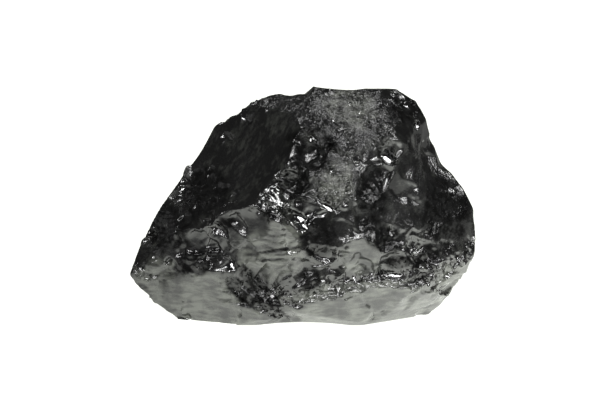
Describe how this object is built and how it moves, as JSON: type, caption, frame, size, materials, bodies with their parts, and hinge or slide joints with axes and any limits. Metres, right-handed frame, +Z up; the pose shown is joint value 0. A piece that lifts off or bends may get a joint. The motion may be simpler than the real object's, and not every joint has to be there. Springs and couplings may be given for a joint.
{
  "type": "coal lump",
  "caption": "Solid lump of hard, glossy black coal with shell-shaped fracture faces, lying on a flat underside.",
  "frame": {"origin": "on the flat underside, below the point that the lump's broken faces are measured from", "axes": "+X to the right along the lump's length, -Y towards the broken front, +Z up from the surface it lies on"},
  "size_m": [0.1004, 0.0581, 0.067],
  "materials": {
    "coal": "gloss"
  },
  "bodies": {
    "root": {"coal_lump": "coal"}
  },
  "joints": []
}
